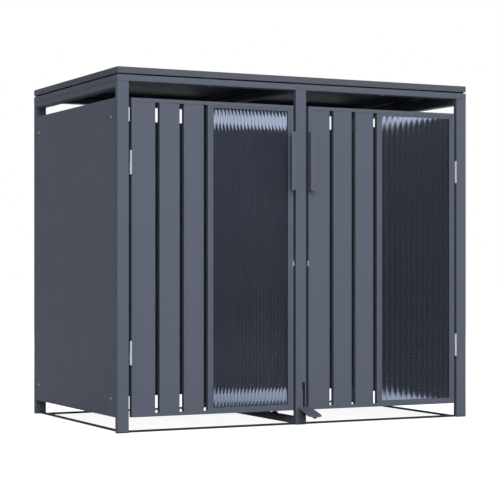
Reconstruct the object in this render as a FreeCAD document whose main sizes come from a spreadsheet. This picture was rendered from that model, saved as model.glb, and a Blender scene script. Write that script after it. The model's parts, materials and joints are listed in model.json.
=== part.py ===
import FreeCAD, Part
import math
import os
import re

import Sketcher

# A steel store for two wheeled bins, side by side: a frame of flat rectangular tubes
# on six feet, a folded roof cap on rubber pads, sheet panels at the sides and back,
# and two outward-opening doors with open slats and a glazed field. A foot pedal works
# a sprung latch inside the front middle post.
#
# Millimetres, +X to the right, +Y from the doors to the back, +Z up. The origin is on
# the ground, under the middle of the whole footprint with the pedal.

SIZES = {
    # Overall
    "overall_width": 1350,
    "overall_depth": 820,
    "overall_height": 1190,
    "pedal_reach": 107,
    # Frame tubes and feet
    "tube_wide": 40,
    "tube_thin": 20,
    "tube_wall": 2,
    "foot_flange": 3,
    "foot_plug": 15,
    "foot_play": 0.2,
    # Roof
    "cap_height": 21,
    "cap_sheet": 1.5,
    "roof_gap": 5,
    "pad_length": 60,
    "pad_setback": 6,
    "seal_setback": 3,
    "roof_screw_radius": 3,
    "roof_screw_head": 6,
    "roof_nut_radius": 5,
    "roof_nut_height": 5,
    "roof_screw_tail": 3,
    # Panels
    "bottom_gap": 50,
    "vent_gap": 54,
    "panel_sheet": 1.5,
    "panel_joint": 1,
    "panel_fold": 15,
    "bracket_sheet": 3,
    "bracket_length": 50,
    "bracket_height": 30,
    "screw_inset": 35,
    "screw_drop": 60,
    "screw_radius": 2,
    "screw_tail": 4,
    "screw_head_radius": 4,
    "screw_head_height": 2,
    "screw_play": 0.15,
    # Ground bars and the middle ground rail
    "base_bar": 7,
    "base_bar_lift": 0.5,
    "back_bar_inset": 77,
    "right_bar_inset": 54,
    "anchor_inset": 194,
    "anchor_hole_radius": 6,
    "anchor_cap_radius": 10.5,
    "anchor_cap_height": 8,
    "anchor_plug_height": 7,
    # Door leaves
    "door_gap": 10,
    "meeting_gap": 9.5,
    "door_depth": 20,
    "door_sheet": 2,
    "frame_lip": 12,
    "slat_width": 72.5,
    "slot_width": 15,
    "slat_depth": 18,
    "slat_sheet": 1.5,
    "mullion_width": 12,
    "mullion_wall": 1.5,
    "bead_width": 8,
    "bead_lip": 2,
    "glazing_thickness": 6,
    "glazing_lap": 6,
    "glazing_play": 0.5,
    # Handles
    "handle_height": 200,
    "handle_drop": 90,
    "handle_reach": 22.5,
    "handle_flange": 20,
    "handle_root": 18,
    "handle_sheet": 2,
    # Hinges
    "hinge_height": 79,
    "hinge_inset": 210,
    "hinge_proud": 2,
    "hinge_sheet": 2,
    "hinge_root": 18,
    "hinge_web": 3,
    "barrel_radius": 4,
    "barrel_gap": 0.3,
    "hinge_pin_radius": 2.5,
    "hinge_pin_play": 0.05,
    # Latch
    "latch_height": 545,
    "latch_travel": 12,
    "latch_pin_radius": 3,
    "latch_pin_end_gap": 0.6,
    "rod_depth": 8,
    "rod_head": 10,
    "slide_play": 0.4,
    "guide_height": 20,
    "guide_low": 240,
    "guide_high": 440,
    "keeper_sheet": 3,
    "keeper_depth": 18,
    "keeper_crown": 15,
    "keeper_hook": 5,
    "keeper_ramp": 4,
    "keeper_play": 0.6,
    # Pedal and its slot in the post
    "slot_offset": 11,
    "slot_narrow": 7.8,
    "slot_wide": 10.5,
    "slot_bottom": 29,
    "slot_step": 116,
    "slot_top": 144,
    "pedal_gap": 14,
    "pedal_width": 54,
    "pedal_offset": 2,
    "pedal_height": 61,
    "pedal_drop": 25,
    "pedal_sheet": 3,
    "pedal_corner": 20,
    "pedal_taper": 10,
    "arm_height": 13,
    "stop_radius": 7,
    "stop_height": 8,
    "stop_inset": 13,
    # Return spring
    "spring_radius": 4,
    "spring_wire": 1.2,
    "spring_turns": 6,
}

SLAT_COUNT = 3

doc = FreeCAD.newDocument("bin_store")
sheet = doc.addObject("Spreadsheet::Sheet", "Sizes")
for row, (name, size) in enumerate(SIZES.items(), start=1):
    sheet.set(f"A{row}", name)
    sheet.set(f"B{row}", str(size))
    sheet.setAlias(f"B{row}", name)
doc.recompute()

# Places worked out from the sizes, as formulas in the sheet's own names

LEFT = "(-overall_width / 2)"
RIGHT = "(overall_width / 2)"
FRONT = "(-(overall_depth + pedal_reach + screw_head_height) / 2 + pedal_reach)"
BACK = f"({FRONT} + overall_depth)"

CAP_BASE = "(overall_height - cap_height)"
RING_TOP = f"({CAP_BASE} - roof_gap)"
RING_BASE = f"({RING_TOP} - tube_thin)"
LEAF_BASE = "bottom_gap"
LEAF_TOP = f"({RING_BASE} - vent_gap)"
LEAF_WIDTH = "((overall_width - 3 * tube_wide) / 2 - door_gap - meeting_gap)"

SCREW_HEIGHTS = (f"{LEAF_BASE} + screw_drop", f"{LEAF_TOP} - screw_drop")
HINGE_HEIGHTS = (f"{LEAF_BASE} + hinge_inset", f"{LEAF_TOP} - hinge_inset")

POST_MIDDLE_Y = f"({FRONT} + tube_thin / 2)"
ARM_WIDTH = "(slot_narrow - 2 * slide_play)"
ARM_TOP = "(pedal_height - pedal_sheet)"
ARM_BASE = f"({ARM_TOP} - arm_height)"
PEDAL_SLOPE = "(pedal_drop / (pedal_reach - pedal_gap))"

SUBPARTS = []


def sized(formula):
    """Point each size name in a formula at its cell in the sheet."""
    def cell(word):
        return f"Sizes.{word[0]}" if word[0] in SIZES else word[0]
    return re.sub(r"[a-z_]+", cell, formula)


def number(formula):
    """The value that a formula has now."""
    return float(sheet.evalExpression(sized(formula)))


def subpart(thing, label):
    """Name a finished sub-part and put it on the list of what is written."""
    thing.Label = label
    SUBPARTS.append(thing)
    return thing


def block(x, y, z):
    """A box between a low and a high formula on each axis."""
    box = doc.addObject("Part::Box", "Block")
    for side, axis, (low, high) in zip(("Length", "Width", "Height"), "xyz", (x, y, z)):
        box.setExpression(side, sized(f"({high}) - ({low})"))
        box.setExpression(f"Placement.Base.{axis}", sized(low))
    return box


AXIS_TURNS = {
    "x": FreeCAD.Rotation(FreeCAD.Vector(0, 1, 0), 90),
    "y": FreeCAD.Rotation(FreeCAD.Vector(1, 0, 0), -90),
    "z": FreeCAD.Rotation(),
}


def rod(radius, along, start, end, across):
    """A cylinder along one axis; across holds its place on the two other axes."""
    cylinder = doc.addObject("Part::Cylinder", "Rod")
    cylinder.setExpression("Radius", sized(radius))
    cylinder.setExpression("Height", sized(f"({end}) - ({start})"))
    cylinder.Placement = FreeCAD.Placement(FreeCAD.Vector(), AXIS_TURNS[along])
    others = [axis for axis in "xyz" if axis != along]
    cylinder.setExpression(f"Placement.Base.{along}", sized(start))
    for axis, place in zip(others, across):
        cylinder.setExpression(f"Placement.Base.{axis}", sized(place))
    return cylinder


PLANES = {"x": "YZ_Plane", "y": "XZ_Plane", "z": "XY_Plane"}


def outline(body, plane, loops):
    """A sketch of closed loops whose corners are bound to their formulas."""
    sketch = body.newObject("Sketcher::SketchObject", "Outline")
    origin_plane = [item for item in body.Origin.OriginFeatures if item.Role == plane][0]
    sketch.AttachmentSupport = [(origin_plane, "")]
    sketch.MapMode = "FlatFace"
    for loop in loops:
        corners = [FreeCAD.Vector(number(u), number(v), 0) for u, v in loop]
        first = sketch.GeometryCount
        count = len(corners)
        for step in range(count):
            line = Part.LineSegment(corners[step], corners[(step + 1) % count])
            sketch.addGeometry(line, False)
        for step in range(count):
            after = first + (step + 1) % count
            sketch.addConstraint(Sketcher.Constraint("Coincident", first + step, 2, after, 1))
        for step, (u, v) in enumerate(loop):
            for kind, formula, place in (("DistanceX", u, corners[step].x),
                                         ("DistanceY", v, corners[step].y)):
                corner = Sketcher.Constraint(kind, -1, 1, first + step, 1, place)
                index = sketch.addConstraint(corner)
                sketch.setExpression(f"Constraints[{index}]", sized(formula))
    return sketch


def section(along, loops, low, high):
    """A profile carried along one axis, from a low to a high place.

    The corners are (y, z) along x, (x, z) along y and (x, y) along z. A profile in the
    upright plane across the depth grows towards the front, so it starts at the high end.
    """
    body = doc.addObject("PartDesign::Body", "Section")
    sketch = outline(body, PLANES[along], loops)
    pad = body.newObject("PartDesign::Pad", "Run")
    pad.Profile = sketch
    pad.setExpression("Length", sized(f"({high}) - ({low})"))
    start = high if along == "y" else low
    body.setExpression(f"Placement.Base.{along}", sized(start))
    body.Tip = pad
    return body


def rectangle(u, v, inset="0"):
    """The corners of an upright rectangle, drawn in by inset on every side."""
    (left, right), (low, high) = u, v
    return [
        (f"{left} + {inset}", f"{low} + {inset}"),
        (f"{right} - {inset}", f"{low} + {inset}"),
        (f"{right} - {inset}", f"{high} - {inset}"),
        (f"{left} + {inset}", f"{high} - {inset}"),
    ]


def tube(along, x, y, z, wall="tube_wall"):
    """A rectangular tube that fills a box, open at the ends of its run."""
    spans = {"x": x, "y": y, "z": z}
    low, high = spans.pop(along)
    u, v = spans.values()
    return section(along, [rectangle(u, v), rectangle(u, v, wall)], low, high)


def cut(base, tools):
    """One piece less the tools; several tools are joined first."""
    tool = tools[0] if len(tools) == 1 else fuse(tools)
    result = doc.addObject("Part::Cut", "Cut")
    result.Base = base
    result.Tool = tool
    return result


def fuse(pieces):
    """Pieces welded into one solid."""
    result = doc.addObject("Part::MultiFuse", "Fused")
    result.Shapes = pieces
    result.Refine = True
    return result


def group(pieces):
    """Separate solids of one kind, kept together under one name."""
    result = doc.addObject("Part::Compound", "Group")
    result.Links = pieces
    return result


def about(middle, width):
    """Low and high ends of a width about its middle."""
    return f"{middle} - {width} / 2", f"{middle} + {width} / 2"


def place_behind(face, depth):
    """The Y of a place given by its depth behind the front or back face."""
    return behind(face, depth, depth)[0]


def beside(side, inner, outer):
    """Low and high X of a span given by its distances from the middle plane."""
    if side == "right":
        return inner, outer
    return f"-({outer})", f"-({inner})"


def behind(face, near, far):
    """Low and high Y of a span given by its depths behind the front or back face."""
    if face == "front":
        return f"{FRONT} + ({near})", f"{FRONT} + ({far})"
    return f"{BACK} - ({far})", f"{BACK} - ({near})"


def sign(side):
    """The direction of a side as a text sign for a formula."""
    return "" if side == "right" else "-"


# Posts and feet

POST_X = {
    "left": beside("left", "overall_width / 2 - tube_wide", "overall_width / 2"),
    "middle": about("0", "tube_wide"),
    "right": beside("right", "overall_width / 2 - tube_wide", "overall_width / 2"),
}


def post(face, place):
    return tube("z", POST_X[place], behind(face, "0", "tube_thin"), ("foot_flange", RING_BASE))


def latch_openings():
    """The keyhole slot for the pedal's arm and the two side slots for the latch pin."""
    edge = "slot_offset + slot_narrow / 2"
    wall = behind("front", "-tube_wall", "2 * tube_wall")
    narrow = block((f"{edge} - slot_narrow", edge), wall, ("slot_bottom", "slot_top"))
    wide = block((f"{edge} - slot_wide", edge), wall, ("slot_step", "slot_top"))
    pin_width = "2 * (latch_pin_radius + slide_play)"
    side_slots = block(
        about("0", "2 * tube_wide"),
        about(POST_MIDDLE_Y, pin_width),
        ("latch_height - latch_travel - latch_pin_radius - slide_play",
         "latch_height + latch_pin_radius + slide_play"),
    )
    return [narrow, wide, side_slots]


def foot(face, place):
    """A plastic insert: a flange under the post and a plug up inside it."""
    x = POST_X[place]
    y = behind(face, "0", "tube_thin")
    flange = block(x, y, ("0", "foot_flange"))
    inset = "(tube_wall + foot_play)"
    plug = block((f"{x[0]} + {inset}", f"{x[1]} - {inset}"),
                 (f"{y[0]} + {inset}", f"{y[1]} - {inset}"),
                 ("0", "foot_flange + foot_plug"))
    return fuse([flange, plug])


feet = []
for face in ("front", "back"):
    for place in ("left", "middle", "right"):
        upright = post(face, place)
        if (face, place) == ("front", "middle"):
            upright = cut(upright, latch_openings())
        subpart(upright, f"{face}_{place}_post")
        feet.append(foot(face, place))
subpart(group(feet), "post_feet")


# Roof ring, side rails and middle rail

RING_X = (LEFT, RIGHT)
RING_Y = (FRONT, BACK)
INNER_Y = (f"({FRONT} + tube_wide)", f"({BACK} - tube_wide)")


def roof_screw_places(face):
    """X and Y of the two screws that hold the roof on the front or back rail."""
    y = place_behind(face, "tube_wide / 2")
    return [(f"{sign(side)}(overall_width / 4)", y) for side in ("left", "right")]


def roof_screw_holes(face, low, high):
    return [rod("roof_screw_radius + screw_play", "z", low, high, place)
            for place in roof_screw_places(face)]


def roof_screw_sink(place, play="0"):
    """The cone of a countersunk head, as deep as the rail's lower wall."""
    head = doc.addObject("Part::Cone", "Sink")
    head.setExpression("Radius1", sized(f"roof_screw_head + {play}"))
    head.setExpression("Radius2", sized(f"roof_screw_radius + {play}"))
    head.setExpression("Height", sized("tube_wall"))
    for axis, formula in zip("xyz", (*place, RING_BASE)):
        head.setExpression(f"Placement.Base.{axis}", sized(formula))
    return head


def mitred_rail(corners, inner_corners):
    """A ring rail cut at the corners' diagonals, from the four corners of its outline
    and of the hollow inside it."""
    shell = section("z", [corners], RING_BASE, RING_TOP)
    hollow = section("z", [inner_corners], f"{RING_BASE} + tube_wall", f"{RING_TOP} - tube_wall")
    return cut(shell, [hollow])


def cross_rail(face):
    """The front or back rail of the ring, across the whole width."""
    toward = "+" if face == "front" else "-"
    outer = place_behind(face, "0")

    def corners(near, far):
        return [(f"{LEFT} + {near}", f"{outer} {toward} {near}"),
                (f"{RIGHT} - {near}", f"{outer} {toward} {near}"),
                (f"{RIGHT} - {far}", f"{outer} {toward} {far}"),
                (f"{LEFT} + {far}", f"{outer} {toward} {far}")]

    rail = mitred_rail(corners("0", "tube_wide"), corners("tube_wall", "(tube_wide - tube_wall)"))
    sinks = [roof_screw_sink(place, "screw_play") for place in roof_screw_places(face)]
    return cut(rail, roof_screw_holes(face, RING_BASE, RING_TOP) + sinks)


def depth_rail(side):
    """The left or right rail of the ring, from front to back."""
    outer = f"{sign(side)}(overall_width / 2)"
    toward = "-" if side == "right" else "+"

    def corners(near, far):
        return [(f"{outer} {toward} {near}", f"{FRONT} + {near}"),
                (f"{outer} {toward} {far}", f"{FRONT} + {far}"),
                (f"{outer} {toward} {far}", f"{BACK} - {far}"),
                (f"{outer} {toward} {near}", f"{BACK} - {near}")]

    return mitred_rail(corners("0", "tube_wide"), corners("tube_wall", "(tube_wide - tube_wall)"))


for face in ("front", "back"):
    subpart(cross_rail(face), f"{face}_roof_rail")
for side in ("left", "right"):
    subpart(depth_rail(side), f"{side}_roof_rail")
    between_posts = (f"{FRONT} + tube_thin", f"{BACK} - tube_thin")
    under_ring = (f"{RING_BASE} - tube_thin", RING_BASE)
    subpart(tube("y", POST_X[side], between_posts, under_ring), f"{side}_top_rail")
subpart(tube("y", POST_X["middle"], INNER_Y, (RING_BASE, RING_TOP)), "middle_roof_rail")


# Roof cap, the channel frame inside it, its pads and its screws

CAP_INSIDE = "(overall_height - cap_sheet)"


def roof_cap():
    """A shallow tray of sheet, open underneath."""
    outside = block(RING_X, RING_Y, (CAP_BASE, "overall_height"))
    inside = block((f"{LEFT} + cap_sheet", f"{RIGHT} - cap_sheet"),
                   (f"{FRONT} + cap_sheet", f"{BACK} - cap_sheet"),
                   (CAP_BASE, CAP_INSIDE))
    return cut(outside, [inside])


def roof_inner_frame():
    """A welded frame of upward-open channels, over the ring and the middle rail."""
    x = (f"{LEFT} + cap_sheet", f"{RIGHT} - cap_sheet")
    y = (f"{FRONT} + cap_sheet", f"{BACK} - cap_sheet")
    whole = block(x, y, (CAP_BASE, CAP_INSIDE))
    windows = [block(beside(side, "tube_wide / 2", "overall_width / 2 - tube_wide"), INNER_Y,
                     (CAP_BASE, CAP_INSIDE)) for side in ("left", "right")]
    groove_z = (f"{CAP_BASE} + tube_wall", CAP_INSIDE)
    groove_x = (f"{x[0]} + tube_wall", f"{x[1]} - tube_wall")
    groove_y = (f"{y[0]} + tube_wall", f"{y[1]} - tube_wall")
    reach = "(tube_wide - tube_wall)"
    grooves = [
        block(groove_x, (groove_y[0], f"{FRONT} + {reach}"), groove_z),
        block(groove_x, (f"{BACK} - {reach}", groove_y[1]), groove_z),
        block((groove_x[0], f"{LEFT} + {reach}"), groove_y, groove_z),
        block((f"{RIGHT} - {reach}", groove_x[1]), groove_y, groove_z),
        block(about("0", "(tube_wide - 2 * tube_wall)"), groove_y, groove_z),
    ]
    holes = [hole for face in ("front", "back")
             for hole in roof_screw_holes(face, CAP_BASE, groove_z[0])]
    return cut(whole, windows + grooves + holes)


def roof_pads():
    """Rubber on the ring: five pads along the front, one half way down each side, and a
    strip along the back that keeps the rain out."""
    pads = []
    z = (RING_TOP, CAP_BASE)
    corner = "(overall_width / 2 - pad_setback - pad_length / 2)"
    y = behind("front", "pad_setback", "(tube_wide - pad_setback)")
    for middle in (f"-{corner}", "-(overall_width / 4)", "0", "(overall_width / 4)", corner):
        pads.append(block(about(middle, "pad_length"), y, z))
    pads[-4] = cut(pads[-4], roof_screw_holes("front", *z)[:1])
    pads[-2] = cut(pads[-2], roof_screw_holes("front", *z)[1:])
    strip = block(about("0", "(overall_width - 2 * seal_setback)"),
                  behind("back", "seal_setback", "(tube_wide - pad_setback)"), z)
    pads.append(cut(strip, roof_screw_holes("back", *z)))
    for side in ("left", "right"):
        x = beside(side, "overall_width / 2 - tube_wide + pad_setback",
                   "overall_width / 2 - pad_setback")
        y = about(f"({FRONT} + overall_depth / 2)", "pad_length")
        pads.append(block(x, y, z))
    return group(pads)


def roof_screw(place):
    """A countersunk screw up through rail, pad and channel, and its hexagonal nut."""
    seat = f"({CAP_BASE} + tube_wall)"
    tip = f"{seat} + roof_nut_height + roof_screw_tail"
    shank = rod("roof_screw_radius", "z", RING_BASE, tip, place)
    screw = fuse([roof_screw_sink(place), shank])
    nut = doc.addObject("Part::Prism", "Nut")
    nut.Polygon = 6
    nut.setExpression("Circumradius", sized("roof_nut_radius"))
    nut.setExpression("Height", sized("roof_nut_height"))
    for axis, formula in zip("xyz", (*place, seat)):
        nut.setExpression(f"Placement.Base.{axis}", sized(formula))
    bore = rod("roof_screw_radius + screw_play", "z", seat, f"{seat} + roof_nut_height", place)
    return [screw, cut(nut, [bore])]


subpart(roof_cap(), "roof_cap")
subpart(roof_inner_frame(), "roof_inner_frame")
subpart(roof_pads(), "roof_pads")
subpart(group([piece for face in ("front", "back") for place in roof_screw_places(face)
               for piece in roof_screw(place)]), "roof_screws")


# Side and back panels with their brackets and screws

def fixing(along, head, shank, across, bracket):
    """One panel fixing: the cutter of its hole, its drilled bracket and its screw."""
    hole, bracket_hole = (rod("screw_radius + screw_play", along, *shank, across) for _ in range(2))
    screw = fuse([rod("screw_head_radius", along, *head, across),
                  rod("screw_radius", along, *shank, across)])
    return hole, cut(bracket, [bracket_hole]), screw


def side_fixings(side):
    """The four corner fixings of a side panel, on brackets behind the side posts."""
    face_x = "overall_width / 2"
    head = beside(side, face_x, f"{face_x} + screw_head_height")
    shank = beside(side, f"{face_x} - panel_sheet - bracket_sheet - screw_tail", face_x)
    leaf = beside(side, f"{face_x} - panel_sheet - bracket_sheet", f"{face_x} - panel_sheet")
    for face in ("front", "back"):
        y = place_behind(face, "(tube_thin + screw_inset)")
        span = behind(face, "tube_thin", "tube_thin + bracket_length")
        for height in SCREW_HEIGHTS:
            bracket = block(leaf, span, about(f"({height})", "bracket_height"))
            yield fixing("x", head, shank, (y, height), bracket)


def back_fixings(side):
    """The four corner fixings of a back panel, on brackets beside the back posts."""
    head = behind("back", "-screw_head_height", "0")
    shank = behind("back", "0", "panel_sheet + bracket_sheet + screw_tail")
    leaf = behind("back", "panel_sheet", "panel_sheet + bracket_sheet")
    near_middle = ("tube_wide / 2", "tube_wide / 2 + bracket_length")
    near_corner = ("overall_width / 2 - tube_wide - bracket_length",
                   "overall_width / 2 - tube_wide")
    screw_x = ("tube_wide / 2 + screw_inset", "overall_width / 2 - tube_wide - screw_inset")
    for span, x in zip((near_middle, near_corner), screw_x):
        for height in SCREW_HEIGHTS:
            bracket = block(beside(side, *span), leaf, about(f"({height})", "bracket_height"))
            yield fixing("y", head, shank, (f"{sign(side)}({x})", height), bracket)


def folded_profile(skin, inward):
    """A sheet with its top and bottom edges folded in, from its outer face inwards."""
    inside, folds = (f"{skin} {inward} {depth}" for depth in ("panel_sheet", "panel_fold"))
    low, high = LEAF_BASE, LEAF_TOP
    return [(skin, low), (folds, low), (folds, f"{low} + panel_sheet"),
            (inside, f"{low} + panel_sheet"), (inside, f"{high} - panel_sheet"),
            (folds, f"{high} - panel_sheet"), (folds, high), (skin, high)]


def side_panel(side, holes):
    inward = "-" if side == "right" else "+"
    profile = folded_profile(f"{sign(side)}(overall_width / 2)", inward)
    low, high = (place_behind(face, "(tube_thin + panel_joint)") for face in ("front", "back"))
    return cut(section("y", [profile], low, high), holes)


def back_panel(side, holes):
    low, high = beside(side, "tube_wide / 2 + panel_joint",
                       "overall_width / 2 - tube_wide - panel_joint")
    return cut(section("x", [folded_profile(BACK, "-")], low, high), holes)


brackets = []
panel_screws = []
for side in ("left", "right"):
    for fixings, panel, label in ((side_fixings, side_panel, f"{side}_side_panel"),
                                  (back_fixings, back_panel, f"back_{side}_panel")):
        holes, drilled, screws = zip(*fixings(side))
        subpart(panel(side, list(holes)), label)
        brackets.extend(drilled)
        panel_screws.extend(screws)
subpart(group(brackets), "panel_brackets")
subpart(group(panel_screws), "panel_screws")


# Ground bars, the middle ground rail and its anchor caps

BAR_Z = ("base_bar_lift", "base_bar_lift + base_bar")
FRONT_BAR_Y = place_behind("front", "(tube_thin / 2)")
BACK_BAR_Y = place_behind("back", "back_bar_inset")
LEFT_BAR_X = "(-(overall_width - tube_wide) / 2)"
RIGHT_BAR_X = "(overall_width / 2 - right_bar_inset)"

# The front bars and the left one run from post to post; the other two stand in from the
# posts, where they stop a bin's wheels, between the left bar and the front ones.
for side in ("left", "right"):
    run = beside(side, "tube_wide / 2", "overall_width / 2 - tube_wide")
    subpart(block(run, about(FRONT_BAR_Y, "base_bar"), BAR_Z), f"front_{side}_base_bar")
left_run = (f"{LEFT_BAR_X} + base_bar / 2", "-(tube_wide / 2)")
right_run = ("tube_wide / 2", f"{RIGHT_BAR_X} - base_bar / 2")
for side, run in (("left", left_run), ("right", right_run)):
    subpart(block(run, about(BACK_BAR_Y, "base_bar"), BAR_Z), f"back_{side}_base_bar")
subpart(block(about(LEFT_BAR_X, "base_bar"),
              (f"{FRONT} + tube_thin", f"{BACK} - tube_thin"), BAR_Z), "left_base_bar")
subpart(block(about(RIGHT_BAR_X, "base_bar"),
              (f"{FRONT_BAR_Y} + base_bar / 2", f"{BACK_BAR_Y} + base_bar / 2"), BAR_Z),
        "right_base_bar")

RAIL_TOP = "(foot_flange + tube_thin)"


def middle_base_rail():
    """A tube laid flat between the middle posts, with a hole for each ground anchor."""
    rail = tube("y", POST_X["middle"], (f"{FRONT} + tube_thin", f"{BACK} - tube_thin"),
                ("foot_flange", RAIL_TOP))
    holes = [rod("anchor_hole_radius", "z", "0", RAIL_TOP, ("0", place_behind(face, "anchor_inset")))
             for face in ("front", "back")]
    return cut(rail, holes)


def anchor_cap(face):
    """A plastic cap over an anchor hole, with a plug that drops into it."""
    place = ("0", place_behind(face, "anchor_inset"))
    head = rod("anchor_cap_radius", "z", RAIL_TOP, f"{RAIL_TOP} + anchor_cap_height", place)
    plug = rod("anchor_hole_radius - screw_play", "z", f"{RAIL_TOP} - anchor_plug_height",
               f"{RAIL_TOP} + anchor_cap_height", place)
    return fuse([head, plug])


subpart(middle_base_rail(), "middle_base_rail")
subpart(group([anchor_cap(face) for face in ("front", "back")]), "anchor_caps")


# Door leaves

LEAF_LEFT = {
    "left": f"({LEFT} + tube_wide + door_gap)",
    "right": "(tube_wide / 2 + meeting_gap)",
}
INNER_Z = (f"{LEAF_BASE} + door_sheet", f"{LEAF_TOP} - door_sheet")
SLAT_PITCH = "(slat_width + slot_width)"


def door_frame(side):
    """A welded angle frame: a wall round the leaf's edge and a lip round its front."""
    left = LEAF_LEFT[side]
    right = f"({left} + {LEAF_WIDTH})"
    whole = block((left, right), behind("front", "0", "door_depth"), (LEAF_BASE, LEAF_TOP))
    window = block((f"{left} + frame_lip", f"{right} - frame_lip"),
                   behind("front", "0", "door_depth"),
                   (f"{LEAF_BASE} + frame_lip", f"{LEAF_TOP} - frame_lip"))
    hollow = block((f"{left} + door_sheet", f"{right} - door_sheet"),
                   behind("front", "door_sheet", "door_depth"), INNER_Z)
    return cut(whole, [window, hollow])


def slat(side, index):
    """An upright channel, open at the back, behind the frame's lip."""
    left = f"({LEAF_LEFT[side]} + frame_lip + {index} * {SLAT_PITCH})"
    right = f"({left} + slat_width)"
    front, back = behind("front", "door_sheet", "door_sheet + slat_depth")
    skin = f"{front} + slat_sheet"
    profile = [(left, front), (right, front), (right, back), (f"{right} - slat_sheet", back),
               (f"{right} - slat_sheet", skin), (f"{left} + slat_sheet", skin),
               (f"{left} + slat_sheet", back), (left, back)]
    return section("z", [profile], *INNER_Z)


def mullion_x(side):
    """Low and high X of the tube between the slats and the glazed field."""
    left = f"({LEAF_LEFT[side]} + frame_lip + {SLAT_COUNT} * {SLAT_PITCH})"
    return left, f"({left} + mullion_width)"


def mullion(side):
    return tube("z", mullion_x(side), behind("front", "door_sheet", "door_depth"), INNER_Z,
                "mullion_wall")


BEAD_DEPTH = "(glazing_thickness + 2 * bead_lip)"


def glazing_span(side, lap):
    """X and Z of the glazed opening, grown by lap on every side."""
    right = f"({LEAF_LEFT[side]} + {LEAF_WIDTH} - frame_lip - bead_width)"
    return ((f"{mullion_x(side)[1]} + bead_width - ({lap})", f"{right} + ({lap})"),
            (f"{LEAF_BASE} + frame_lip + bead_width - ({lap})",
             f"{LEAF_TOP} - frame_lip - bead_width + ({lap})"))


def glazing_frame(side):
    """A grooved frame between the mullion and the leaf's edge, round the glazing."""
    right = f"{LEAF_LEFT[side]} + {LEAF_WIDTH} - door_sheet"
    depth = behind("front", "door_sheet", f"door_sheet + {BEAD_DEPTH}")
    groove_depth = behind("front", "door_sheet + bead_lip",
                          "door_sheet + bead_lip + glazing_thickness")
    whole = block((mullion_x(side)[1], right), depth, INNER_Z)
    opening_x, opening_z = glazing_span(side, "0")
    groove_x, groove_z = glazing_span(side, "glazing_lap")
    return cut(whole, [block(opening_x, depth, opening_z),
                       block(groove_x, groove_depth, groove_z)])


def polycarbonate_panel(side):
    x, z = glazing_span(side, "glazing_lap - glazing_play")
    y = behind("front", "door_sheet + bead_lip", "door_sheet + bead_lip + glazing_thickness")
    return block(x, y, z)


MEETING_X = "(tube_wide / 2 + meeting_gap)"


def handle(side):
    """A long angle: a leg along the leaf's meeting edge and a flange across its front."""
    near, edge, tip = (f"{sign(side)}({MEETING_X} {offset})" for offset in
                       ("- handle_sheet", "+ 0", "- handle_sheet + handle_flange"))
    front = f"{FRONT} - handle_reach"
    flange_back = f"{front} + handle_sheet"
    root = f"{FRONT} + handle_root"
    profile = [(near, front), (tip, front), (tip, flange_back), (edge, flange_back),
               (edge, root), (near, root)]
    top = f"({LEAF_TOP} - handle_drop)"
    return section("z", [profile], f"{top} - handle_height", top)


def keeper(side):
    """A plate on the meeting edge with a notch from below for the latch pin, and ramps
    that push the pin down as the door shuts."""
    front, back = about(POST_MIDDLE_Y, "keeper_depth")
    notch_front, notch_back = about(POST_MIDDLE_Y, "2 * (latch_pin_radius + keeper_play)")
    base = "latch_height - keeper_hook"
    crown = "latch_height + keeper_crown"
    notch_top = "latch_height + latch_pin_radius + keeper_play"
    profile = [(front, crown), (back, crown), (back, f"{base} + keeper_ramp"),
               (f"{back} - keeper_ramp", base), (notch_back, base), (notch_back, notch_top),
               (notch_front, notch_top), (notch_front, base), (f"{front} + keeper_ramp", base),
               (front, f"{base} + keeper_ramp")]
    return section("x", [profile], *beside(side, f"{MEETING_X} - keeper_sheet", MEETING_X))


# Hinges

PIN_X = "(overall_width / 2 - tube_wide - door_gap + barrel_radius)"
PIN_Y = f"({FRONT} - hinge_proud)"


def hinge_half(side, plate_x, web_x, plate_y, z):
    """A barrel with the plate, and for the post the web, that it is welded to."""
    axis = (f"{sign(side)}{PIN_X}", PIN_Y)
    pieces = [rod("barrel_radius", "z", *z, axis), block(beside(side, *plate_x), plate_y, z)]
    if web_x:
        pieces.append(block(beside(side, *web_x), about(PIN_Y, "hinge_web"), z))
    bore = rod("hinge_pin_radius + hinge_pin_play", "z", *z, axis)
    return cut(fuse(pieces), [bore])


def hinge_pieces(side, middle):
    """Post half, door half and pin of one hinge; the door half rides on the post half."""
    low, high = about(f"({middle})", "hinge_height")
    lower_z = (low, f"({middle}) - barrel_gap / 2")
    upper_z = (f"({middle}) + barrel_gap / 2", high)
    post_x = "overall_width / 2 - tube_wide"
    leaf_x = f"{post_x} - door_gap"
    back = f"{PIN_Y} + hinge_root"
    post_half = hinge_half(side, (f"{post_x} - hinge_sheet", post_x), (PIN_X, post_x),
                           (f"{PIN_Y} - hinge_web / 2", back), lower_z)
    door_half = hinge_half(side, (leaf_x, f"{leaf_x} + hinge_sheet"), None,
                           (PIN_Y, back), upper_z)
    pin = rod("hinge_pin_radius", "z", low, high, (f"{sign(side)}{PIN_X}", PIN_Y))
    return post_half, door_half, pin


hinge_post_halves = []
hinge_pins = []
for side in ("left", "right"):
    subpart(door_frame(side), f"{side}_door_frame")
    for index in range(SLAT_COUNT):
        subpart(slat(side, index), f"{side}_door_slat_{index + 1}")
    subpart(mullion(side), f"{side}_door_mullion")
    subpart(glazing_frame(side), f"{side}_glazing_frame")
    subpart(polycarbonate_panel(side), f"{side}_polycarbonate_panel")
    subpart(handle(side), f"{side}_handle")
    subpart(keeper(side), f"{side}_latch_keeper")
    post_halves, door_halves, pins = zip(*(hinge_pieces(side, z) for z in HINGE_HEIGHTS))
    subpart(group(list(door_halves)), f"{side}_hinge_door_halves")
    hinge_post_halves.extend(post_halves)
    hinge_pins.extend(pins)
subpart(group(hinge_post_halves), "hinge_post_halves")
subpart(group(hinge_pins), "hinge_pins")


# Latch

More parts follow.
